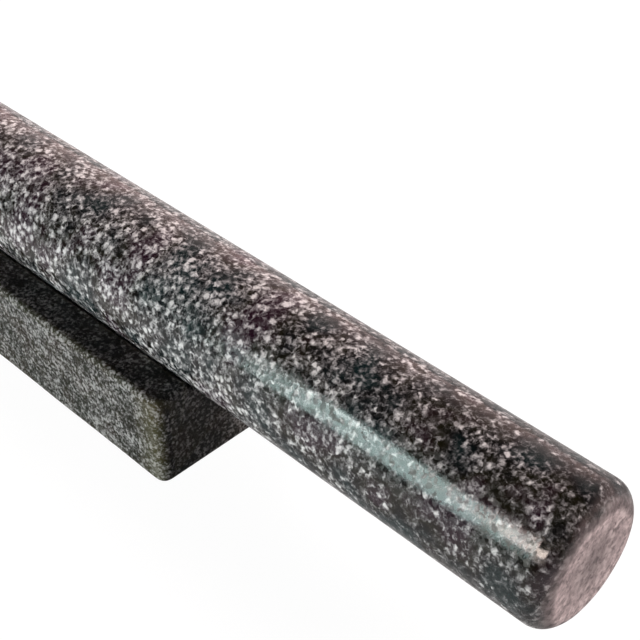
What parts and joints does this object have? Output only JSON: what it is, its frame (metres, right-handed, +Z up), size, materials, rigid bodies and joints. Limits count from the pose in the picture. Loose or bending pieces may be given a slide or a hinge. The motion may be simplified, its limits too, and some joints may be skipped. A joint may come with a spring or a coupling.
{
  "type": "rolling pin",
  "caption": "Straight granite rolling pin without handles, with rounded ends, that lies in the trough of a block stand of the same stone on non-slip pads.",
  "frame": {"origin": "on the worktop, under the middle of the pin, which is also the middle of the stand", "axes": "+X along the pin, +Y across it to the back of the stand, +Z up"},
  "size_m": [0.46, 0.07, 0.0828],
  "materials": {
    "granite": "polished",
    "rubber": "matte"
  },
  "bodies": {
    "stand": {"stand": "granite", "pad_front_left": "rubber", "pad_front_right": "rubber", "pad_rear_left": "rubber", "pad_rear_right": "rubber"},
    "pin": {"rolling_pin": "granite"}
  },
  "joints": [
    {"name": "pin_lift", "type": "slide", "parent": "stand", "child": "pin", "axis": [0, 0, 1], "range_m": [0, 0.12]}
  ]
}
